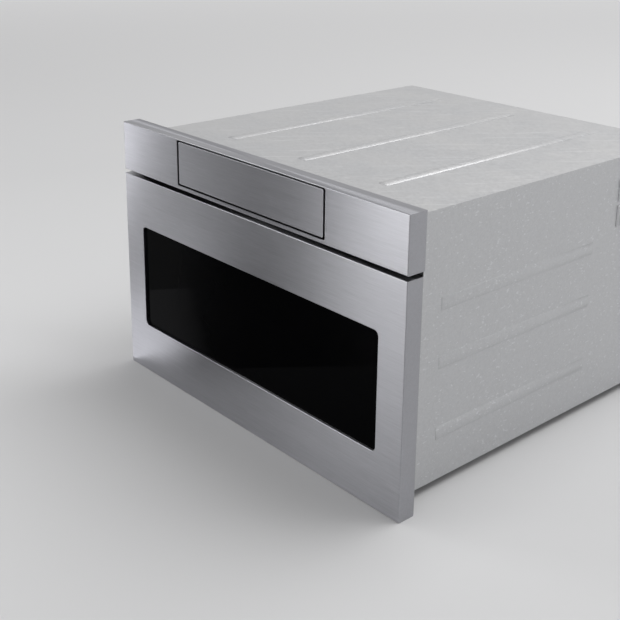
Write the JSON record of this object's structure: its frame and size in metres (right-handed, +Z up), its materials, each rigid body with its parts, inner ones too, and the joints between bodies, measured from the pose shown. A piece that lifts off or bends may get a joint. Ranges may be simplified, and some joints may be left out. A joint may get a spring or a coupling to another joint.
{
  "type": "microwave drawer",
  "caption": "Built-in microwave drawer with a stainless front, a black glass window, a tilting control flap and a motor-driven drawer on telescopic slides.",
  "frame": {"origin": "middle of the four flange screws, on the cabinet's face", "axes": "+X to the right seen from the front, +Y into the cabinet, +Z up"},
  "size_m": [0.6064, 0.6252, 0.4016],
  "materials": {
    "brushed_steel": "horizontal brushed grain, satin",
    "black_glass": "gloss black, opaque from behind",
    "clear_glass": "clear",
    "zinc_sheet": "zinc coated sheet, faint spangle",
    "grey_enamel": "grey enamel, satin",
    "black_screen": "perforated sheet, matt black",
    "black_plastic": "moulded, fine texture",
    "white_plastic": "moulded, natural nylon",
    "dark_metal": "black paint",
    "lamination": "stacked laminations, varnished",
    "copper_winding": "enamelled copper wire",
    "plain_steel": "bright plated steel",
    "aluminium": "bare",
    "circuit_board": "green solder mask with parts",
    "mica": "pressed mica sheet",
    "lamp_glass": "frosted bulb",
    "acetal": "white gear plastic"
  },
  "bodies": {
    "case": {"base_plate": "zinc_sheet", "case_wrap": "zinc_sheet", "back_plate": "zinc_sheet", "front_frame": "dark_metal", "oven_cavity": "grey_enamel", "slide_angle_left": "zinc_sheet", "slide_angle_right": "zinc_sheet", "slide_outer_left": "plain_steel", "slide_outer_right": "plain_steel", "waveguide": "zinc_sheet", "waveguide_cover": "mica", "stirrer_motor": "plain_steel", "magnetron": "aluminium", "transformer_core": "lamination", "transformer_windings": "copper_winding", "hv_capacitor": "aluminium", "fan_housing": "black_plastic", "fan_motor": "lamination", "exhaust_duct": "zinc_sheet", "oven_lamp": "lamp_glass", "fascia_skin": "brushed_steel", "fascia_frame": "black_plastic", "power_board": "circuit_board", "drive_motor": "plain_steel", "shaft_bearings": "black_plastic", "interlock_blocks": "white_plastic", "cord_gland": "black_plastic", "flap_motor": "plain_steel", "case_screws": "plain_steel"},
    "drawer": {"drawer_skin": "brushed_steel", "door_glass": "black_glass", "door_frame": "grey_enamel", "window_screen": "black_screen", "inner_glass": "clear_glass", "choke_cover": "black_plastic", "drawer_pan": "grey_enamel", "latch_hooks": "plain_steel", "drawer_arm_left": "zinc_sheet", "drawer_arm_right": "zinc_sheet", "slide_inner_left": "plain_steel", "slide_inner_right": "plain_steel", "rack_left": "acetal", "rack_right": "acetal"},
    "middle_slide_left": {"slide_middle_left": "plain_steel"},
    "middle_slide_right": {"slide_middle_right": "plain_steel"},
    "outer_cages": {"outer_ball_cages": "plain_steel"},
    "inner_cages": {"inner_ball_cages": "plain_steel"},
    "cross_shaft": {"drive_shaft": "plain_steel", "pinion_left": "acetal", "pinion_right": "acetal", "drive_gear": "acetal"},
    "motor_output": {"motor_gear": "acetal"},
    "control_flap": {"flap_skin": "brushed_steel", "flap_body": "black_plastic", "control_glass": "black_glass", "key_board": "circuit_board", "flap_gear": "acetal"},
    "flap_motor_output": {"flap_pinion": "acetal"},
    "fan": {"fan_blade": "black_plastic"},
    "mode_stirrer": {"stirrer": "aluminium"}
  },
  "joints": [
    {"name": "drawer_slide", "type": "slide", "parent": "case", "child": "drawer", "axis": [0, -1, 0], "range_m": [0, 0.381]},
    {"name": "middle_slide_left_run", "type": "slide", "parent": "case", "child": "middle_slide_left", "axis": [0, -1, 0], "range_m": [0, 0.1905]},
    {"name": "middle_slide_right_run", "type": "slide", "parent": "case", "child": "middle_slide_right", "axis": [0, -1, 0], "range_m": [0, 0.1905]},
    {"name": "outer_cages_run", "type": "slide", "parent": "case", "child": "outer_cages", "axis": [0, -1, 0], "range_m": [0, 0.09525]},
    {"name": "inner_cages_run", "type": "slide", "parent": "case", "child": "inner_cages", "axis": [0, -1, 0], "range_m": [0, 0.28575]},
    {"name": "cross_shaft_turn", "type": "hinge", "parent": "case", "child": "cross_shaft", "pos_m": [0, 0.03, -0.17165], "axis": [1, 0, 0], "continuous": true},
    {"name": "drive_motor_turn", "type": "hinge", "parent": "case", "child": "motor_output", "pos_m": [0.056, 0.04596, -0.158], "axis": [1, 0, 0], "continuous": true},
    {"name": "control_flap_tilt", "type": "hinge", "parent": "case", "child": "control_flap", "pos_m": [0, -0.024, 0.138], "axis": [1, 0, 0], "range_deg": [0, 45]},
    {"name": "flap_motor_turn", "type": "hinge", "parent": "case", "child": "flap_motor_output", "pos_m": [-0.15, 0.00752, 0.16263], "axis": [1, 0, 0], "continuous": true},
    {"name": "fan_turn", "type": "hinge", "parent": "case", "child": "fan", "pos_m": [0, 0.48, 0.12895], "axis": [0, 1, 0], "continuous": true},
    {"name": "stirrer_turn", "type": "hinge", "parent": "case", "child": "mode_stirrer", "pos_m": [0, 0.21, 0.085], "axis": [0, 0, 1], "continuous": true}
  ],
  "couplings": [
    {"joint": "middle_slide_left_run", "follows": "drawer_slide", "ratio": 0.5},
    {"joint": "middle_slide_right_run", "follows": "drawer_slide", "ratio": 0.5},
    {"joint": "outer_cages_run", "follows": "drawer_slide", "ratio": 0.25},
    {"joint": "inner_cages_run", "follows": "drawer_slide", "ratio": 0.75},
    {"joint": "cross_shaft_turn", "follows": "drawer_slide", "rad_per_m": 95.238},
    {"joint": "drive_motor_turn", "follows": "drawer_slide", "rad_per_m": -126.98},
    {"joint": "flap_motor_turn", "follows": "control_flap_tilt", "ratio": -5.6667}
  ]
}
